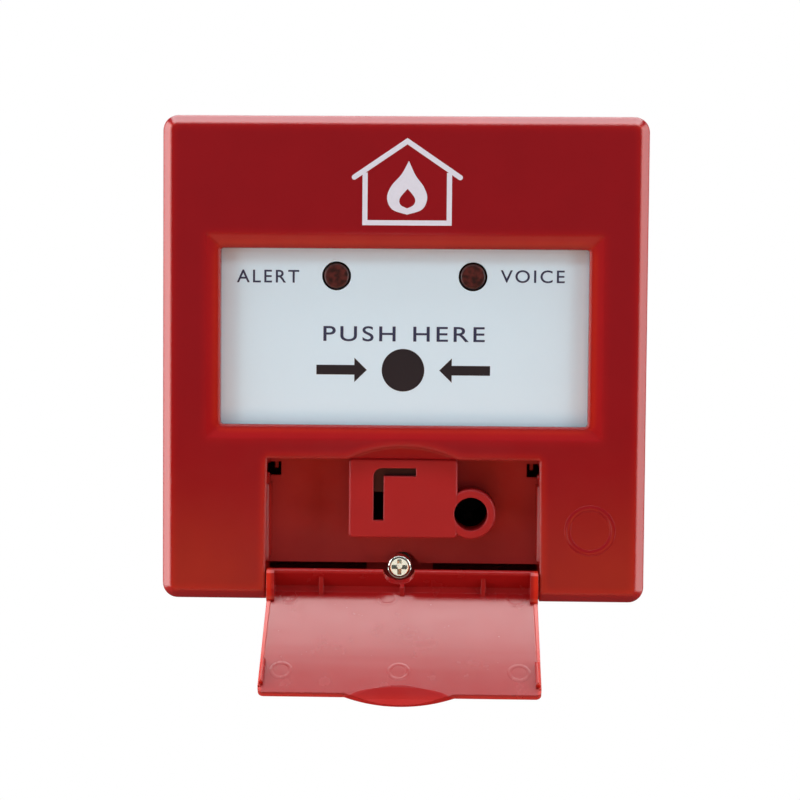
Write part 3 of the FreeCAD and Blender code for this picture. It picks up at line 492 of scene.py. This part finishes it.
def board():
    """Solder mask over copper: faint lighter tracks and the weave of the glass."""
    look = Look("board_green")
    cells = look.node("ShaderNodeTexVoronoi", feature="DISTANCE_TO_EDGE", distance="EUCLIDEAN")
    cells.inputs["Scale"].default_value = 1.0 / (5 * MM)
    look.feed(look.place, cells.inputs["Vector"])
    look.colour(look.ramp(cells.outputs["Distance"],
                          ((0.06, (0.03, 0.16, 0.05)), (0.10, (0.012, 0.085, 0.03)))))
    look.rough(look.spread(look.noise(0.5 * MM), 0.28, 0.4))
    look.bump(look.noise(0.25 * MM), 0.004 * MM)
    return look


def make_looks():
    """Every material, by its name."""
    looks = [
        cover_red(),
        moulded("face_mark", RED, 0.16, 0.5 * MM, 0.0012 * MM, sink=0.02 * MM, scuffs=0.001 * MM),
        moulded("red_key", (0.36, 0.009, 0.012), 0.40, 0.5 * MM, 0.002 * MM, edge=0.45 * MM),
        door_red(),
        door_mark(),
        moulded("red_satin", (0.45, 0.024, 0.020), 0.6, 0.22 * MM, 0.012 * MM),
        moulded("white_plate", (0.645, 0.885, 1.0), 0.36, 0.5 * MM, 0.0006 * MM, cloudy=0.004),
        moulded("brown_plastic", (0.06, 0.014, 0.012), 0.42, 0.3 * MM, 0.003 * MM),
        moulded("black_plastic", (0.006, 0.006, 0.006), 0.45, 0.25 * MM, 0.004 * MM),
        moulded("nylon_natural", (0.62, 0.60, 0.54), 0.4, 0.4 * MM, 0.003 * MM),
        moulded("terminal_grey", (0.16, 0.18, 0.19), 0.45, 0.3 * MM, 0.004 * MM),
        lamp(),
        banded_resistor(),
        board(),
        metal("spring_steel", (0.55, 0.55, 0.56), 0.22),
        metal("zinc_steel", (0.62, 0.63, 0.66), 0.28),
        metal("nickel_screw", (0.93, 0.97, 0.88), 0.17, (600, 600, 600), 0.006 * MM),
        metal("brass", (0.72, 0.50, 0.20), 0.25),
        metal("capacitor_can", (0.7, 0.7, 0.72), 0.3),
        ink("white_ink", (0.70, 0.77, 0.88)),
        ink("navy_ink", (0.025, 0.036, 0.085)),
        ink("black_ink", (0.012, 0.012, 0.016)),
    ]
    return {look.name: look for look in looks}


def dress(looks):
    """Gives every CAD node the finish of its slot, apart from the door and the key bezel."""
    finish = {s["node"]: s["material_slot"] for s in frame["record"]["subparts"]}
    finish.update({"door": "red_door", "key_bezel": "red_key"})
    for name, obj in frame["nodes"].items():
        look = looks[finish[name]]
        if not obj.material_slots:
            obj.data.materials.append(look.mat)
        for slot in obj.material_slots:
            slot.material = look.mat


# ---- Pieces --------------------------------------------------------------------------------
def add_piece(name, mesh, look, body):
    """Puts a mesh of this finish into the scene, to ride on its body."""
    mesh.materials.append(look.mat)
    obj = bpy.data.objects.new(name, mesh)
    bpy.context.scene.collection.objects.link(obj)
    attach(obj, body)


def flat_piece(name, outlines, y, look, body, thickness=INK):
    """Thin slabs that stand on the plane y and face -Y. An outline is one closed loop of (x, z)
    points in metres, or a list of loops of which the second and later ones are holes."""
    bm = bmesh.new()
    for i, outline in enumerate(outlines):
        loops = outline if isinstance(outline[0], list) else [outline]
        lift = thickness * (1 + 0.02 * i)          # slabs that overlap stay apart
        front = [bm.verts.new((x, y - lift, z)) for loop in loops for x, z in loop]
        back = [bm.verts.new((x, y, z)) for loop in loops for x, z in loop]
        for triangle in tessellate_polygon([[Vector((x, z, 0)) for x, z in loop] for loop in loops]):
            bm.faces.new([front[k] for k in triangle])
            bm.faces.new([back[k] for k in reversed(triangle)])
        start = 0
        for loop in loops:
            ring = list(range(start, start + len(loop)))
            for a, b in zip(ring, ring[1:] + ring[:1]):
                bm.faces.new((front[b], front[a], back[a], back[b]))
            start += len(loop)
    bmesh.ops.recalc_face_normals(bm, faces=bm.faces)
    mesh = bpy.data.meshes.new(name)
    bm.to_mesh(mesh)
    bm.free()
    add_piece(name, mesh, look, body)


def circle(x, z, radius, steps=48):
    return [(x + radius * math.cos(a), z + radius * math.sin(a))
            for a in (2 * math.pi * i / steps for i in range(steps))]


def stroke(points, width):
    """Outline of a line of even width along (x, z) points, with mitred corners."""
    line = [Vector(p) for p in points]
    left, right = [], []
    for here in line:
        spans = [(a, b) for a, b in zip(line, line[1:]) if here is a or here is b]
        runs = [(b - a).normalized() for a, b in spans]
        sides = [Vector((-run.y, run.x)) for run in runs]
        normal = sum(sides, Vector((0, 0))).normalized()
        reach = width / 2 / max(0.35, normal.dot(sides[0]))      # a sharp corner stays short
        left.append(tuple(here + normal * reach))
        right.append(tuple(here - normal * reach))
    return left + right[::-1]


def smooth(points, steps=6):
    """Catmull-Rom curve through (x, z) points, without the last of them."""
    last = len(points) - 1
    found = []
    for i in range(last):
        p = [Vector(points[min(max(i + k, 0), last)]) for k in (-1, 0, 1, 2)]
        for s in range(steps):
            t = s / steps
            a = 2 * p[1] + (p[2] - p[0]) * t
            b = (2 * p[0] - 5 * p[1] + 4 * p[2] - p[3]) * t * t
            c = (3 * p[1] - p[0] - 3 * p[2] + p[3]) * t ** 3
            found.append(tuple((a + b + c) / 2))
    return found


def millimetres(points, x=0.0):
    """Points given in millimetres, moved across by x, in metres."""
    return [((px + x) * MM, pz * MM) for px, pz in points]


# ---- Print on the cover --------------------------------------------------------------------
def house_and_flame(look):
    """Plain fire sign, its points in millimetres: an even gable drawn in line, and one
    round-bellied flame in its middle."""
    middle = 0.4
    line = 1.0 * MM
    roof = ((-10.3, 35.4), (0.0, 42.4), (10.3, 35.4))
    walls = ((-8.2, 36.3), (-8.2, 26.6), (8.2, 26.6), (8.2, 36.3))
    outlines = [stroke(millimetres(points, middle), line) for points in (roof, walls)]
    outlines += [circle(x, z, line / 2, 20) for x, z in millimetres((roof[0], roof[2]), middle)]
    flat_piece("print_house", outlines, FACE_Y, look, "housing")
    left = ((0.3, 38.6), (-1.1, 36.0), (-3.1, 33.7), (-3.9, 31.4), (-2.9, 29.2), (0.0, 28.2))
    right = ((0.0, 28.2), (2.9, 29.2), (3.9, 31.4), (3.2, 33.6), (1.6, 35.8), (0.3, 38.6))
    flame = [p for side in (left, right) for p in smooth(millimetres(side, middle))]
    left = ((0.1, 33.2), (-1.4, 31.4), (-1.3, 30.1), (0.0, 29.4))
    right = ((0.0, 29.4), (1.3, 30.1), (1.5, 31.4), (0.1, 33.2))
    heart = [p for side in (left, right) for p in smooth(millimetres(side, middle), 5)]
    flat_piece("print_flame", [[flame, heart]], FACE_Y, look, "housing", 2 * INK)


# ---- Print on the press plate --------------------------------------------------------------
def words(name, text, x0, x1, low, cap, look):
    """A word in the built-in sans face, fitted between x0 and x1 and between low and low + cap,
    all in millimetres."""
    x0, x1, low, cap = (length * MM for length in (x0, x1, low, cap))
    curve = bpy.data.curves.new(name, "FONT")
    curve.body = text
    curve.space_character = 1.22
    curve.offset = 0.006                 # a slightly bolder stroke
    curve.extrude = 0.02                 # any depth: it is fitted below
    holder = bpy.data.objects.new(name + "_font", curve)
    bpy.context.scene.collection.objects.link(holder)
    bpy.context.view_layer.update()
    mesh = bpy.data.meshes.new_from_object(holder)
    bpy.data.objects.remove(holder)
    xs = [v.co.x for v in mesh.vertices]
    ys = [v.co.y for v in mesh.vertices]
    for v in mesh.vertices:
        x = (v.co.x - min(xs)) / (max(xs) - min(xs))
        z = (v.co.y - min(ys)) / (max(ys) - min(ys))
        front = v.co.z > 0
        v.co = (x0 + x * (x1 - x0), PLATE_Y - (INK if front else 0.0), low + z * cap)
    mesh.name = name
    bm = bmesh.new()
    bm.from_mesh(mesh)
    bmesh.ops.remove_doubles(bm, verts=bm.verts, dist=0.0001 * MM)
    bmesh.ops.recalc_face_normals(bm, faces=bm.faces)
    bm.to_mesh(mesh)
    bm.free()
    mesh.materials.clear()
    add_piece(name, mesh, look, "press_plate")


def arrow(name, tail, base, tip, look):
    """A level arrow between these places in x, in millimetres; base is where its head begins."""
    shaft, head = 0.95, 2.4              # half of each height
    points = ((tail, MARK_Z - shaft), (base, MARK_Z - shaft), (base, MARK_Z - head), (tip, MARK_Z),
              (base, MARK_Z + head), (base, MARK_Z + shaft), (tail, MARK_Z + shaft))
    flat_piece(name, [millimetres(points)], PLATE_Y, look, "press_plate")


def plate_print(navy, black):
    words("print_left_word", "ALERT", -33.1, -20.8, 14.95, 2.5, navy)
    words("print_right_word", "VOICE", 18.85, 31.4, 15.2, 2.5, navy)
    words("print_middle_words", "PUSH HERE", -15.95, 15.85, 3.5, 3.0, navy)
    arrow("print_left_arrow", -17.3, -9.8, -7.35, black)
    arrow("print_right_arrow", 16.95, 9.4, 6.95, black)
    flat_piece("print_dot", [circle(-0.2 * MM, MARK_Z * MM, 4.2 * MM)], PLATE_Y, black,
               "press_plate")


# ---- Raised marks --------------------------------------------------------------------------
def raised_ring(name, x, z, radius, width, height, y, look, body, spin=None):
    """A low ring that swells softly out of the plane y, before an optional turn."""
    steps, rounds = 64, 9
    bm = bmesh.new()
    rows = []
    for i in range(steps):
        a = 2 * math.pi * i / steps
        row = []
        for k in range(rounds):
            b = math.pi * k / (rounds - 1)
            r = radius + width / 2 * math.cos(b)
            swell = height * math.sin(b) ** 2
            row.append(bm.verts.new((x + r * math.cos(a), y - swell, z + r * math.sin(a))))
        rows.append(row)
    for here, there in zip(rows, rows[1:] + rows[:1]):
        for k in range(rounds):
            n = (k + 1) % rounds
            face = bm.faces.new((here[k], there[k], there[n], here[n]))
            face.smooth = n > 0              # the last one is the flat underside
    bmesh.ops.recalc_face_normals(bm, faces=bm.faces)
    mesh = bpy.data.meshes.new(name)
    bm.to_mesh(mesh)
    bm.free()
    if spin is not None:
        mesh.transform(spin)
    add_piece(name, mesh, look, body)


def open_door():
    """Turns a place on the shut door to where it is with the door open."""
    return (Matrix.Translation(HINGE_PLACE) @ Matrix.Rotation(DOOR_OPEN, 4, "X")
            @ Matrix.Translation(-HINGE_PLACE))


def door_marks(look):
    """Ejector pin marks on the inner face of the door, three near the hinge and three near the tab."""
    inner = FACE_Y + DOOR_PLATE
    to_inner = Matrix.Translation((0, inner, 0))
    flip = to_inner @ Matrix.Diagonal((1, -1, 1, 1)) @ to_inner.inverted()
    spin = open_door() @ flip
    marks = [(x, z) for z, middle in ((-44.2, -2.9), (-25.2, -0.2)) for x in (-22.4, middle, 22.4)]
    for i, (x, z) in enumerate(marks):
        raised_ring(f"pin_mark_{i}", x * MM, z * MM, 1.8 * MM, 0.8 * MM, 0.02 * MM, inner,
                    look, "door", spin)


def plain_ring(look):
    """Plain raised ring low on the right, where a maker's sign would be."""
    raised_ring("plain_ring", 36.7 * MM, -33.2 * MM, 4.4 * MM, 1.2 * MM, 0.08 * MM, FACE_Y, look,
                "housing")


def main():
    bpy.context.scene.view_settings.view_transform = "Standard"
    camera()
    world()
    floor()
    lights()
    looks = make_looks()
    dress(looks)
    house_and_flame(looks["white_ink"])
    plate_print(looks["navy_ink"], looks["black_ink"])
    door_marks(looks["door_mark"])
    plain_ring(looks["face_mark"])


main()
